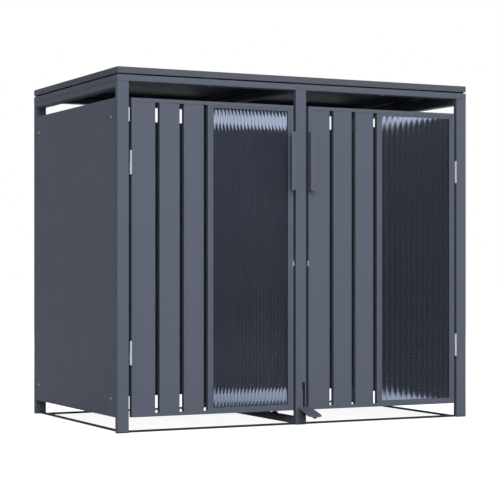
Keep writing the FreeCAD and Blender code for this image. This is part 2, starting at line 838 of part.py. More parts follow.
def common(base, tool):
    """What two pieces share."""
    result = doc.addObject("Part::Common", "Shared")
    result.Base = base
    result.Tool = tool
    return result


LATCH_X = about("slot_offset", ARM_WIDTH)
PEDAL_BACK = f"({FRONT} - pedal_gap)"
PEDAL_FRONT = f"({FRONT} - pedal_reach)"
UNDERSIDE_FRONT = "(pedal_height - pedal_drop - pedal_sheet)"


def pedal_tongue():
    """The pedal's outline from above, full height: round front corners, and a left edge
    that draws in towards the post."""
    z = ("0", "pedal_height")
    left, right = about("pedal_offset", "pedal_width")
    centre_y = f"({PEDAL_FRONT} + pedal_corner)"
    centres = (f"{left} + pedal_corner", f"{right} - pedal_corner")
    wide = section("z", [[(left, centre_y), (right, centre_y), (right, PEDAL_BACK),
                          (f"{left} + pedal_taper", PEDAL_BACK)]], *z)
    narrow = block(centres, (PEDAL_FRONT, centre_y), z)
    corners = [rod("pedal_corner", "z", *z, (x, centre_y)) for x in centres]
    return fuse([wide, narrow] + corners)


def latch_pedal():
    """A sloping foot plate on an arm that passes through the post's slot."""
    slab = section("x", [[(PEDAL_BACK, "pedal_height"), (PEDAL_BACK, ARM_TOP),
                          (PEDAL_FRONT, UNDERSIDE_FRONT),
                          (PEDAL_FRONT, f"{UNDERSIDE_FRONT} + pedal_sheet")]],
                   *about("pedal_offset", "pedal_width"))
    inner = f"{POST_MIDDLE_Y} - rod_depth / 2"
    arm = section("x", [[(inner, ARM_BASE), (inner, ARM_TOP), (PEDAL_BACK, ARM_TOP),
                         (f"{PEDAL_BACK} - arm_height / {PEDAL_SLOPE}", ARM_BASE)]], *LATCH_X)
    return fuse([common(slab, pedal_tongue()), arm])


def pedal_stop():
    """A round rubber stop, cut off above by the pedal's sloping underside."""
    centre = f"({PEDAL_FRONT} + stop_inset)"
    near, far = f"{centre} - stop_radius", f"{centre} + stop_radius"

    def under(y):
        return f"{UNDERSIDE_FRONT} + ({y} - {PEDAL_FRONT}) * {PEDAL_SLOPE}"

    base = f"({under(centre)} - stop_height)"
    wedge = section("x", [[(near, base), (far, base), (far, under(f"({far})")),
                           (near, under(f"({near})"))]],
                    *about("pedal_offset", "2 * stop_radius"))
    return common(rod("stop_radius", "z", base, "pedal_height", ("pedal_offset", centre)), wedge)


def latch_rod():
    """The upright bar inside the post, drilled for the latch pin."""
    bar = block(LATCH_X, about(POST_MIDDLE_Y, "rod_depth"), (ARM_BASE, "latch_height + rod_head"))
    return cut(bar, [latch_pin()])


def latch_pin():
    """A pin across the post, out through both of its sides to just short of the leaves."""
    end = f"({MEETING_X} - latch_pin_end_gap)"
    return rod("latch_pin_radius", "x", f"-{end}", end, (POST_MIDDLE_Y, "latch_height"))


def rod_guide(base):
    """A plastic block that fills the post, with a running slot for the bar."""
    reach = "(tube_wide / 2 - tube_wall)"
    z = (base, f"{base} + guide_height")
    body = block((f"-{reach}", reach), behind("front", "tube_wall", "tube_thin - tube_wall"), z)
    slot = block(about("slot_offset", f"({ARM_WIDTH} + 2 * slide_play)"),
                 about(POST_MIDDLE_Y, "(rod_depth + 2 * slide_play)"), z)
    return cut(body, [slot])


def biarc(start, start_way, end, end_way):
    """Two arcs between two points that leave and arrive along the given unit ways."""
    chord = end - start
    ways = start_way + end_way
    spread = 2 * (1 - start_way.dot(end_way))
    along = chord.dot(ways)
    reach = (math.sqrt(along ** 2 + spread * chord.dot(chord)) - along) / spread
    joint = (start + end + (start_way - end_way) * reach) * 0.5
    return [tangent_arc(start, start_way, joint), tangent_arc(end, end_way * -1, joint)]


def tangent_arc(start, way, end):
    """The arc from start, along way, to end."""
    chord = end - start
    unit = chord * (1 / chord.Length)
    rise = way - unit * way.dot(unit)
    rise.normalize()
    bow = chord.Length / 2 * math.tan(math.acos(way.dot(unit)) / 2)
    return Part.Arc(start, (start + end) * 0.5 + rise * bow, end).toShape()


def return_spring():
    """A coil from the foot's plug up to the bar, as arcs along a helix.

    At turn t the wire's centre is at (radius cos 2 pi t, radius sin 2 pi t, pitch t).
    """
    radius, wire = number("spring_radius"), number("spring_wire")
    seat, top = number("foot_flange + foot_plug"), number(ARM_BASE)
    turns = number("spring_turns")
    pitch = (top - seat - wire) / turns
    steps_per_turn = 4

    def at(turn):
        angle = 2 * math.pi * turn
        place = FreeCAD.Vector(radius * math.cos(angle), radius * math.sin(angle), pitch * turn)
        way = FreeCAD.Vector(-radius * math.sin(angle), radius * math.cos(angle),
                             pitch / (2 * math.pi))
        return place, way.normalize()

    edges = []
    for step in range(round(turns * steps_per_turn)):
        edges += biarc(*at(step / steps_per_turn), *at((step + 1) / steps_per_turn))
    path = Part.Wire(Part.__sortEdges__(edges))
    place, way = at(0)
    ring = Part.Wire(Part.Circle(place, way, wire / 2).toShape())
    spring = doc.addObject("Part::Feature", "Spring")
    spring.Shape = path.makePipeShell([ring], True, False)
    spring.Placement = FreeCAD.Placement(
        FreeCAD.Vector(number("slot_offset"), number(POST_MIDDLE_Y), seat + wire / 2),
        FreeCAD.Rotation())
    return spring


subpart(latch_pedal(), "latch_pedal")
subpart(pedal_stop(), "pedal_stop")
subpart(latch_rod(), "latch_rod")
subpart(latch_pin(), "latch_pin")
subpart(group([rod_guide(base) for base in ("guide_low", "guide_high")]), "latch_guides")
subpart(return_spring(), "return_spring")


# Rebuild, check and write

doc.recompute()
for thing in doc.Objects:
    if "Invalid" in thing.State or "Error" in thing.State:
        raise RuntimeError(f"{thing.Label} did not rebuild: {thing.State}")
os.makedirs("parts", exist_ok=True)
for thing in SUBPARTS:
    shape = thing.Shape
    if shape.isNull() or not shape.isValid() or not shape.Solids:
        raise RuntimeError(f"{thing.Label} has no sound solid")
for thing in SUBPARTS:
    thing.Shape.exportStep(f"parts/{thing.Label}.step")
print(f"{len(SUBPARTS)} sub-parts written")
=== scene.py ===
import json

import bpy
import numpy as np
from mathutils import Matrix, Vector

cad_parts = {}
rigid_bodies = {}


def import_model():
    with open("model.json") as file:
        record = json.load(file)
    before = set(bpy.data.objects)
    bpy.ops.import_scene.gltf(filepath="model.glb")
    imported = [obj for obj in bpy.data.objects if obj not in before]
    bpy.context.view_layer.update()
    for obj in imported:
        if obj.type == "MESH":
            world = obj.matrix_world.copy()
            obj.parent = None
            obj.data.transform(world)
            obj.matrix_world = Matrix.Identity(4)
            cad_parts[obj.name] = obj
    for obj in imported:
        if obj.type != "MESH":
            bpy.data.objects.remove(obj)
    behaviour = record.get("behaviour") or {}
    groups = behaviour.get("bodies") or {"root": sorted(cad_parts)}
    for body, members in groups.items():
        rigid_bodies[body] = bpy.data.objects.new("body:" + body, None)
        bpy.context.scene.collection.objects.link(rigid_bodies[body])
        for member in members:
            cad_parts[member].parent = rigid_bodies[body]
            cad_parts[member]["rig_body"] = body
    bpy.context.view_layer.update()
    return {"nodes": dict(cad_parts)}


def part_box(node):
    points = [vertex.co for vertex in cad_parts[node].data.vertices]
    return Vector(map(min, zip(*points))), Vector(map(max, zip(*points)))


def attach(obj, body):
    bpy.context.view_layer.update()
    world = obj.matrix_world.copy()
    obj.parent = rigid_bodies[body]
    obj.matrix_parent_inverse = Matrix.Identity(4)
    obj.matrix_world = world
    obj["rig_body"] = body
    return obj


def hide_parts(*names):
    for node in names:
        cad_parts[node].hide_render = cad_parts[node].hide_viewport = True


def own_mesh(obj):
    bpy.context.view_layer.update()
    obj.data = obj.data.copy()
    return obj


# The looks of a steel store for two wheeled bins: tubes, folded sheets, fluted glazing,
# hinges and a pedal latch, each formed round the part that it stands for. Metres, +X to
# the right, +Y from the doors to the back, +Z up. Every form is a stack of closed loops
# of points, and each point carries a fourth number that is 1 on a bend and 0 on a flat.

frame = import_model()

MM = 0.001
ARC_STEPS = 5
ROUND_SIDES, SMALL_SIDES = 32, 24
TUBE_WALL, TUBE_CORNER, TUBE_BORE_CORNER = 2 * MM, 1.6 * MM, 0.4 * MM
SHARP_FROM, EASED_FROM = np.radians(38), np.radians(50)


# Outlines and loops

def unit(ways):
    """Each way with its length made 1."""
    return ways / np.linalg.norm(ways, axis=-1, keepdims=True)


def across(axis):
    """The two axes other than this one."""
    return [i for i in range(3) if i != axis]


def quarter(steps):
    """(sin a, cos a) for a from 0 to a right angle, in even steps."""
    turns = np.linspace(0, np.pi / 2, steps + 1)
    return np.sin(turns), np.cos(turns)


def rounded(corners, radii):
    """A closed outline with an arc at each corner, as rows of (u, v, bend).

    At a corner P, with unit ways a and b to its neighbours and half the angle h between
    them, the arc's centre is P + (a + b) / |a + b| * r / sin h and its ends lie at
    P + a * r / tan h and P + b * r / tan h. Between them the point turns evenly about the
    centre, and bend is sin(pi t) at the share t of the turn.
    """
    p = np.asarray(corners, float)
    r = np.broadcast_to(radii, len(p)).astype(float)[:, None]
    before, after = unit(np.roll(p, 1, 0) - p), unit(np.roll(p, -1, 0) - p)
    half = np.arccos(np.clip((before * after).sum(1), -1, 1))[:, None] / 2
    centre = p + unit(before + after) * r / np.sin(half)
    start = p + before * r / np.tan(half) - centre
    end = p + after * r / np.tan(half) - centre
    turn = np.pi - 2 * half
    t = np.linspace(0, 1, ARC_STEPS + 1)
    share = np.stack([np.sin((1 - t) * turn), np.sin(t * turn)]) / np.sin(turn)
    arcs = (centre[:, None] + start[:, None] * share[0][..., None]
            + end[:, None] * share[1][..., None])
    bend = np.broadcast_to(np.sin(np.pi * t)[:, None], (len(p), len(t), 1))
    return np.concatenate([arcs, bend], 2).reshape(-1, 3)


def rectangle(low, high, radii):
    """An upright rectangle with round corners, from its low and high corner."""
    (u0, v0), (u1, v1) = low, high
    return rounded([(u0, v0), (u1, v0), (u1, v1), (u0, v1)], radii)


def run(outline, axis, *places):
    """Loops of an outline at places along an axis; a place may differ point by point."""
    loops = np.empty((len(places), len(outline), 4))
    loops[..., across(axis) + [3]] = outline
    for loop, place in zip(loops, places):
        loop[:, axis] = place
    return loops


def skin(loops, ends="capped"):
    """Points and faces over a stack of loops: (i, j) joins (i, j + 1) and (i + 1, j).

    Ends are capped with a face each, or joined so that the last loop meets the first.
    The faces are turned round where the volume inside them comes out negative.
    """
    loops = np.asarray(loops, float)
    rows, count = loops.shape[:2]
    index = np.arange(rows * count).reshape(rows, count)
    stack = np.vstack([index, index[:1]]) if ends == "joined" else index
    beside = np.roll(stack, -1, 1)
    quads = np.stack([stack[:-1], beside[:-1], beside[1:], stack[1:]], -1).reshape(-1, 4)
    fans = [quads[:, [0, 1, 2]], quads[:, [0, 2, 3]]]
    caps = [index[0, ::-1], index[-1]] if ends == "capped" else []
    fans += [np.stack([np.full(count - 2, cap[0]), cap[1:-1], cap[2:]], -1) for cap in caps]
    points = loops.reshape(-1, 4)
    a, b, c = (points[np.concatenate(fans)[:, i], :3] for i in range(3))
    faces = quads.tolist() + [cap.tolist() for cap in caps]
    if (a * np.cross(b, c)).sum() < 0:
        faces = [face[::-1] for face in faces]
    return points, faces


def box_of(node):
    low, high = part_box(node)
    return np.array(low), np.array(high)


def solids_of(node):
    """The low and high corners of each separate solid in a node, in order along X, Y, Z.

    Every corner starts with its own number, each triangle hands its lowest number to its
    three corners until nothing changes, and one number is then one solid.
    """
    mesh = frame["nodes"][node].data
    points = np.empty(len(mesh.vertices) * 3)
    mesh.vertices.foreach_get("co", points)
    points = points.reshape(-1, 3)
    mesh.calc_loop_triangles()
    triangles = np.empty(len(mesh.loop_triangles) * 3, int)
    mesh.loop_triangles.foreach_get("vertices", triangles)
    _, same = np.unique(np.round(points, 6), axis=0, return_inverse=True)
    same = same.ravel()
    triangles = same[triangles].reshape(-1, 3)
    number = np.arange(same.max() + 1)
    while True:
        lowest = number.copy()
        for corner in range(3):
            np.minimum.at(lowest, triangles[:, corner], number[triangles].min(1))
        if (lowest == number).all():
            break
        number = lowest
    owner = number[same]
    boxes = [(points[owner == one].min(0), points[owner == one].max(0))
             for one in np.unique(owner)]
    return sorted(boxes, key=lambda box: tuple(np.round(box[0], 4)))


# Forms

def tube(axis, low, high, wall=TUBE_WALL, corner=TUBE_CORNER):
    """A rectangular tube in a box: a round-cornered outline and a smaller one inside it
    run the whole length, joined over both cut ends."""
    u, v = across(axis)
    outer = rectangle((low[u], low[v]), (high[u], high[v]), corner)
    inner = rectangle((low[u] + wall, low[v] + wall), (high[u] - wall, high[v] - wall),
                      max(corner - wall, TUBE_BORE_CORNER))
    return skin(np.vstack([run(outer, axis, low[axis], high[axis]),
                           run(inner, axis, high[axis], low[axis])]), "joined")


def slab(low, high, axis=2, corner=1 * MM, ease=0.5 * MM, least=0.2 * MM):
    """A solid bar or block whose outline is a round-cornered rectangle.

    Near each end the outline draws in by ease * (1 - sin a) while it is
    ease * (1 - cos a) from the end, for a from 0 to a right angle.
    """
    u, v = across(axis)
    sine, cosine = quarter(3)
    loops = []
    for inset, rise in zip(ease * (1 - sine), ease * (1 - cosine)):
        outline = rectangle((low[u] + inset, low[v] + inset),
                            (high[u] - inset, high[v] - inset), max(corner - inset, least))
        loops.append(run(outline, axis, low[axis] + rise, high[axis] - rise))
    loops = np.array(loops)
    return skin(np.vstack([loops[:, 0], loops[::-1, 1]]))


def folded(outline, axis, low, high):
    """A bent sheet, or a solid bar: its section carried straight along one axis."""
    return skin(run(outline, axis, low, high))


def turned(centre, axis, rows, sides=ROUND_SIDES, ends="capped"):
    """A round piece: at row (r, h) the loop is centre + h along the axis + r (cos, sin).

    A row with a third number, 1, follows a hexagon, r cos 30 / cos((a mod 60) - 30).
    """
    angle = np.linspace(0, 2 * np.pi, sides, endpoint=False)
    sixth = np.pi / 3
    hexagon = np.cos(sixth / 2) / np.cos(angle % sixth - sixth / 2)
    u, v = across(axis)
    loops = np.zeros((len(rows), sides, 4))
    for loop, (radius, height, *facets) in zip(loops, rows):
        reach = radius * (hexagon if facets else 1)
        loop[:, u] = centre[u] + reach * np.cos(angle)
        loop[:, v] = centre[v] + reach * np.sin(angle)
        loop[:, axis] = centre[axis] + height
    return skin(loops, ends)


def window_ring(rects, depths, bends):
    """A section carried round a window, mitred at its four corners.

    Section point j follows its own rectangle (x0, x1, z0, z1) at its own depth y, and
    has its own bend.
    """
    x0, x1, z0, z1 = np.transpose(rects)
    loops = [np.stack([x, depths, z, bends], -1) for x, z in
             ((x0, z0), (x1, z0), (x1, z1), (x0, z1))]
    return skin(loops, "joined")


# Finishes

def join(tree, value, socket):
    """Link a node's output to a socket, or give the socket a plain value."""
    if isinstance(value, bpy.types.NodeSocket):
        tree.links.new(value, socket)
    else:
        socket.default_value = value


def maths(tree, operation, *values, clamp=False):
    """The output of a Math node over values or links."""
    node = tree.nodes.new("ShaderNodeMath")
    node.operation = operation
    node.use_clamp = clamp
    for value, socket in zip(values, node.inputs):
        join(tree, value, socket)
    return node.outputs[0]


class Finish:
    """A material's nodes, with short calls to add and join them."""

    def __init__(self, name, **shader):
        self.material = bpy.data.materials.new(name)
        self.material.use_nodes = True
        self.tree = self.material.node_tree
        self.shader = self.tree.nodes["Principled BSDF"]
        for socket, value in shader.items():
            self.shader.inputs[socket.replace("_", " ")].default_value = value
        self.place = self.add("ShaderNodeTexCoord").outputs["Object"]

    def add(self, kind, settings=None, **sockets):
        """A node with its settings; each socket gets a value or a link."""
        node = self.tree.nodes.new(kind)
        for key, value in (settings or {}).items():
            setattr(node, key, value)
        for name, value in sockets.items():
            join(self.tree, value, node.inputs[name.replace("_", " ")])
        return node

    def noise(self, scale, detail, stretch=(1, 1, 1)):
        mapped = self.add("ShaderNodeMapping", Vector=self.place, Scale=stretch)
        return self.add("ShaderNodeTexNoise", Vector=mapped.outputs["Vector"], Scale=scale,
                        Detail=detail).outputs["Fac"]

    def spread(self, noise, low, high):
        """The middle of a noise, from 0.3 to 0.7, becomes low to high."""
        return self.add("ShaderNodeMapRange", Value=noise, From_Min=0.3, From_Max=0.7,
                        To_Min=low, To_Max=high).outputs["Result"]

    def mix(self, factor, first, second):
        """From the first colour at 0 to the second at 1."""
        node = self.add("ShaderNodeMix", {"data_type": "RGBA"}, Factor=factor)
        colours = [socket for socket in node.inputs if socket.type == "RGBA"]
        for colour, socket in zip((first, second), colours):
            join(self.tree, colour, socket)
        return next(output for output in node.outputs if output.type == "RGBA")

    def drive(self, socket, value):
        """Join a value to one of the shader's own sockets."""
        join(self.tree, value, self.shader.inputs[socket])

    def bump(self, height, distance, strength, **under):
        return self.add("ShaderNodeBump", Height=height, Distance=distance,
                        Strength=strength, **under).outputs["Normal"]


def shade(colour, share):
    """A colour made darker or lighter, with its alpha."""
    return tuple(min(1.0, c * share) for c in colour) + (1.0,)


def powder_coat(name="anthracite_powder_coat", colour=(0.112, 0.126, 0.159)):
    """Fine-textured powder coat: a tight grain, a slow drift in shade from one field of
    the sheet to the next, pale specks, and bends made a little paler, partly as edge wear
    and partly as a painted highlight."""
    coat = Finish(name, Specular_IOR_Level=0.05)
    drift = coat.spread(coat.noise(3.1, 3), 0, 1)
    speck = coat.spread(coat.noise(420, 2), 0, 0.35)
    edge_wear_and_highlight = coat.spread(coat.noise(38, 3), 0, 0.22)
    bend = coat.add("ShaderNodeAttribute", {"attribute_name": "bend"}).outputs["Fac"]
    base = coat.mix(drift, shade(colour, 0.985), shade(colour, 1.015))
    base = coat.mix(speck, base, shade(colour, 1.12))
    # Bends are up to 1.6 times paler. This is partly edge wear and partly a painted
    # highlight along the bend.
    base = coat.mix(maths(coat.tree, "MULTIPLY", bend, edge_wear_and_highlight), base, shade(colour, 1.6))
    coat.drive("Base Color", base)
    coat.drive("Roughness", coat.spread(coat.noise(17, 4), 0.5, 0.58))
    grain = coat.bump(coat.noise(900, 2), 0.12 * MM, 0.35)
    coat.drive("Normal", coat.bump(coat.noise(11, 2), 0.3 * MM, 0.06, Normal=grain))
    return coat.material


def zinc():
    """Zinc plate: a pale metal with fine drawn lines along its length and a soft bloom."""
    colour = (0.52, 0.54, 0.60)
    plate = Finish("zinc_plate", Metallic=1.0)
    bloom = plate.noise(160, 3)
    plate.drive("Base Color", plate.mix(plate.spread(bloom, 0, 1), shade(colour, 0.9),
                                        shade(colour, 1.08)))
    plate.drive("Roughness", plate.spread(bloom, 0.34, 0.5))
    drawn = plate.noise(700, 2, stretch=(1, 1, 0.05))
    plate.drive("Normal", plate.bump(drawn, 0.05 * MM, 0.3))
    return plate.material


def bright_steel(name, colour, rough):
    """Turned steel: fine tool marks as a bump and a mottled shade and roughness."""
    steel = Finish(name, Metallic=1.0)
    mottle = steel.noise(300, 3)
    steel.drive("Base Color", steel.mix(steel.spread(mottle, 0, 1), shade(colour, 0.88),
                                        shade(colour, 1.06)))
    steel.drive("Roughness", steel.spread(mottle, rough, rough + 0.14))
    marks = steel.noise(1500, 1, stretch=(1, 1, 0.2))
    steel.drive("Normal", steel.bump(marks, 0.03 * MM, 0.4))
    return steel.material


def moulded(name, colour, rough, grain, depth):
    """Moulded black plastic or rubber: a fine even grain with a faint paler bloom."""
    stuff = Finish(name, Specular_IOR_Level=0.15)
    bloom = stuff.noise(35, 3)
    stuff.drive("Base Color", stuff.mix(stuff.spread(bloom, 0, 1), shade(colour, 0.85),
                                        shade(colour, 1.3)))
    stuff.drive("Roughness", stuff.spread(bloom, rough - 0.06, rough + 0.06))
    stuff.drive("Normal", stuff.bump(stuff.noise(grain, 2), depth, 0.5))
    return stuff.material


def clear_polycarbonate(name, tint, clear, haze):
    """Fluted polycarbonate with a cold blue cast and faint lines in its tint up its length.

    The share clear of it lets light through, blurred by the haze, and the rest is milky.
    """
    sheet = Finish(name, Transmission_Weight=clear, IOR=1.5,
                   Specular_Tint=(0.12, 0.13, 0.15, 1))
    lines = sheet.noise(260, 2, stretch=(1, 1, 0.02))
    sheet.drive("Base Color", sheet.mix(sheet.spread(lines, 0, 1), shade(tint, 0.97),
                                        shade(tint, 1.03)))
    sheet.drive("Roughness", sheet.spread(sheet.noise(25, 3), haze, haze + 0.03))
    return sheet.material


RUBBER_GRAIN = {"rough": 0.7, "grain": 420, "depth": 0.12 * MM}
FINISHES = {
    "anthracite_paint": powder_coat(),
    "zinc_plate": zinc(),
    "screw_steel": bright_steel("screw_steel", (0.34, 0.35, 0.37), rough=0.32),
    "spring_steel": bright_steel("spring_steel", (0.42, 0.41, 0.40), rough=0.3),
    "polycarbonate": clear_polycarbonate("fluted_polycarbonate", (0.383, 0.44, 0.595),
                                         clear=0.95, haze=0.04),
    "black_plastic": moulded("black_plastic", (0.016, 0.017, 0.019), rough=0.45, grain=700,
                             depth=0.06 * MM),
    "black_rubber": moulded("black_rubber", (0.006, 0.006, 0.007), **RUBBER_GRAIN),
}
# A paler copy of the rubber for the roof pads. It is painted light that brightens the
# shaded gap under the roof cap.
PAD_RUBBER_PAINTED_LIGHT = moulded("pad_rubber_painted_light", (0.022, 0.024, 0.025), **RUBBER_GRAIN)
BAR_COAT = powder_coat("charcoal_powder_coat", (0.036, 0.039, 0.045))
# A darker copy of the anthracite paint for the roof cap. It is painted shade, standing in
# for the darker look the light gives the cap's edge.
ROOF_PAINTED_SHADE_COAT = powder_coat("roof_coat_painted_shade", (0.098, 0.107, 0.132))
# A near-black coat for the latch rod. It is painted shade, so the inside of the keyhole
# reads dark.
LATCH_ROD_PAINTED_SHADE = powder_coat("latch_rod_painted_shade", (0.020, 0.021, 0.023))
WIDE_SHEET = clear_polycarbonate("wide_fluted_polycarbonate", (0.435, 0.49, 0.65),
                                 clear=0.965, haze=0.13)


# Making a piece

def solid_mesh(name, points, faces):
    """A mesh and its object in the scene; the points' fourth number is left out."""
    mesh = bpy.data.meshes.new(name)
    mesh.from_pydata(points[:, :3].tolist(), [], faces)
    thing = bpy.data.objects.new(name, mesh)
    bpy.context.scene.collection.objects.link(thing)
    return mesh, thing


def formed(node, shells, slot="anthracite_paint", ease=0.35 * MM, finish=None):
    """A piece in place of a node, from shells of (points, faces), riding on its body.

    Its edges are eased by a bevel, except where ease is 0.
    """
    points, faces, first = [], [], 0
    for shell_points, shell_faces in shells:
        points.append(shell_points)
        faces += [[first + corner for corner in face] for face in shell_faces]
        first += len(shell_points)
    points = np.vstack(points)
    mesh, thing = solid_mesh(f"{node}_formed", points, faces)
    bend = mesh.attributes.new("bend", "FLOAT", "POINT")
    bend.data.foreach_set("value", points[:, 3].astype(np.float32))
    mesh.shade_smooth()
    mesh.set_sharp_from_angle(angle=SHARP_FROM)
    mesh.materials.append(finish or FINISHES[slot])
    if ease:
        soften = thing.modifiers.new("eased_edges", "BEVEL")
        soften.width = ease
        soften.segments = 2
        soften.limit_method = "ANGLE"
        soften.angle_limit = EASED_FROM
        soften.harden_normals = True
    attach(thing, frame["nodes"][node]["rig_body"])
    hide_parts(node)
    return thing


def pierce(thing, cutters):
    """Cut solid forms out of a piece's mesh, with its eased edges left for later."""
    eased = thing.modifiers["eased_edges"]
    eased.show_viewport = False
    for number, (points, faces) in enumerate(cutters):
        _, tool = solid_mesh(f"cutter_{number}", points, faces)
        cut = thing.modifiers.new("cut", "BOOLEAN")
        cut.operation = "DIFFERENCE"
        cut.solver = "EXACT"
        cut.object = tool
        thing.modifiers.move(len(thing.modifiers) - 1, 0)
        graph = bpy.context.evaluated_depsgraph_get()
        thing.data = bpy.data.meshes.new_from_object(thing.evaluated_get(graph))
        thing.data.set_sharp_from_angle(angle=SHARP_FROM)
        thing.modifiers.remove(cut)
        bpy.data.objects.remove(tool)
    eased.show_viewport = True


def dress(node, finish):
    """Give a node that stays its finish."""
    for place in frame["nodes"][node].material_slots:
        place.material = finish


# Frame of tubes

LEFT, FRONT = box_of("front_roof_rail")[0][:2]
POST_MIDDLE_Y = FRONT + 10 * MM
RING_CORNER = 2.2 * MM
SLOT_LEFT, SLOT_RIGHT, SLOT_FOOT, SLOT_TOP = 7.1 * MM, 14.9 * MM, 29 * MM, 144 * MM
NOTCH_LEFT, NOTCH_FOOT = 4.4 * MM, 116 * MM
KEYHOLE = [(SLOT_LEFT, SLOT_FOOT), (SLOT_RIGHT, SLOT_FOOT), (SLOT_RIGHT, SLOT_TOP),
           (NOTCH_LEFT, SLOT_TOP), (NOTCH_LEFT, NOTCH_FOOT), (SLOT_LEFT, NOTCH_FOOT)]
KEYHOLE_RADII = np.array([3.4, 3.4, 3, 3, 3, 0.8]) * MM
PIN_SLOT_HALF, PIN_SLOT_FOOT, PIN_SLOT_TOP = 3.4 * MM, 529.6 * MM, 548.4 * MM
PIN_SLOT_CORNER = 3.3 * MM

for node in ("front_left_post", "front_right_post", "back_left_post", "back_middle_post",
             "back_right_post"):
    formed(node, [tube(2, *box_of(node))])

latch_post = formed("front_middle_post", [tube(2, *box_of("front_middle_post"))])
keyhole = folded(rounded(KEYHOLE, KEYHOLE_RADII), 1, FRONT - 3 * MM, FRONT + 5 * MM)
pin_slot = rectangle((POST_MIDDLE_Y - PIN_SLOT_HALF, PIN_SLOT_FOOT),
                     (POST_MIDDLE_Y + PIN_SLOT_HALF, PIN_SLOT_TOP), PIN_SLOT_CORNER)
pierce(latch_post, [keyhole, folded(pin_slot, 0, -30 * MM, 30 * MM)])

for node in ("left_top_rail", "right_top_rail"):
    formed(node, [tube(1, *box_of(node), corner=3.2 * MM)])
for node in ("middle_roof_rail", "middle_base_rail"):
    formed(node, [tube(1, *box_of(node))])


def mitred_tube(node):
    """A ring rail: at depth d in from the outer face, each end is cut d short."""
    low, high = box_of(node)
    along = 0 if high[0] - low[0] > high[1] - low[1] else 1
    deep = 1 - along
    inward = 1 if abs(low[deep] - (LEFT, FRONT)[deep]) < MM else -1
    outer_face = low[deep] if inward > 0 else high[deep]

    def ends(outline):
        depth = (outline[:, 0] - outer_face) * inward
        return low[along] + depth, high[along] - depth

    outer = rectangle((low[deep], low[2]), (high[deep], high[2]), RING_CORNER)
    inner = rectangle((low[deep] + TUBE_WALL, low[2] + TUBE_WALL),
                      (high[deep] - TUBE_WALL, high[2] - TUBE_WALL), TUBE_BORE_CORNER)
    return skin(np.vstack([run(outer, along, *ends(outer)),
                           run(inner, along, *ends(inner)[::-1])]), "joined")


for side in ("front", "back", "left", "right"):
    formed(f"{side}_roof_rail", [mitred_tube(f"{side}_roof_rail")])

for place, axis in (("front_left", 0), ("front_right", 0), ("back_left", 0),
                    ("back_right", 0), ("left", 1), ("right", 1)):
    node = f"{place}_base_bar"
    formed(node, [slab(*box_of(node), axis, corner=0.8 * MM)], ease=0, finish=BAR_COAT)


def foot(low, high):
    """A plastic insert: an eased flange under the post and a plug inside it."""
    flange, inset = 3 * MM, np.array([2.2, 2.2, 0]) * MM
    flange_top = np.array([*high[:2], low[2] + flange])
    plug_low = np.array([*low[:2], flange_top[2] - MM]) + inset
    return [slab(low, flange_top, corner=2.2 * MM, ease=0.6 * MM),
            slab(plug_low, high - inset, corner=1 * MM, ease=0.6 * MM)]


formed("post_feet", [shell for box in solids_of("post_feet") for shell in foot(*box)],
       "black_plastic", ease=0)


def anchor_cap(low, high):
    """A head that widens from its seat to a dome, on a plug: r = R cos a and
    h = edge + rise * sin a for the dome."""
    plug, head, edge, rise = 5.85 * MM, 8 * MM, 4.4 * MM, 3.6 * MM
    centre = (low + high) / 2
    radius, seat = (high[0] - low[0]) / 2, high[2] - head - centre[2]
    rows = [(plug, low[2] - centre[2]), (plug, seat), (radius - 2.2 * MM, seat),
            (radius - 1.2 * MM, seat + 1.4 * MM), (radius, seat + 4 * MM)]
    for a in np.linspace(0.15, 1.5, 7):
        rows.append((radius * np.cos(a), seat + edge + rise * np.sin(a)))
    return turned(centre, 2, rows)


formed("anchor_caps", [anchor_cap(*box) for box in solids_of("anchor_caps")],
       "black_plastic", ease=0)


# Roof

def roof_tray(low, high, sheet=1.5 * MM, bend=2.5 * MM, corner=1.8 * MM, least=0.3 * MM):
    """A folded tray: the outline of its rim carried up inside, over the edge and out.

    Outside, the fold draws in by bend * (1 - cos a) while it rises bend * sin a; inside
    it does the same with bend - sheet.
    """
    def loop(inset, z):
        outline = rectangle(low[:2] + inset, high[:2] - inset, max(corner - inset, least))
        return run(outline, 2, z)[0]

    turns = list(zip(*quarter(5)))
    inner = bend - sheet
    inside = [loop(sheet + inner * (1 - cosine), high[2] - sheet - inner * (1 - sine))
              for sine, cosine in turns[::-1]]
    outside = [loop(bend * (1 - cosine), high[2] - bend * (1 - sine))
               for sine, cosine in turns]
    return skin(inside + [loop(sheet, low[2]), loop(0, low[2])] + outside)


# The roof cap takes the darker copy of the paint, which is painted shade.
formed("roof_cap", [roof_tray(*box_of("roof_cap"))], ease=0.25 * MM, finish=ROOF_PAINTED_SHADE_COAT)
# The roof pads take the paler rubber, which is painted light in the gap under the cap.
formed("roof_pads", [slab(*box, corner=2 * MM, ease=0.8 * MM)
                     for box in solids_of("roof_pads")],
       "black_rubber", ease=0, finish=PAD_RUBBER_PAINTED_LIGHT)
dress("roof_inner_frame", FINISHES["anthracite_paint"])


def button_head(radius, height, socket):
    """Rows of a button head, seated at 0, and a hexagonal socket sunk into its top.

    From the rim up to the flat at angle full its dome is r = R cos a and
    h = H (rim + (1 - rim) sin a / sin full).
    """
    rim, full = 0.12, 1.12
    rows = [(radius * 0.96, 0), (radius, height * rim)]
    for a in np.linspace(0.25, full, 6):
        rise = rim + (1 - rim) * np.sin(a) / np.sin(full)
        rows.append((radius * np.cos(a), height * rise))
    floor = height * 0.35
    return rows + [(socket * 1.06, height, 1), (socket, height * 0.95, 1),
                   (socket, floor, 1), (socket * 0.3, floor * 0.8, 1)]


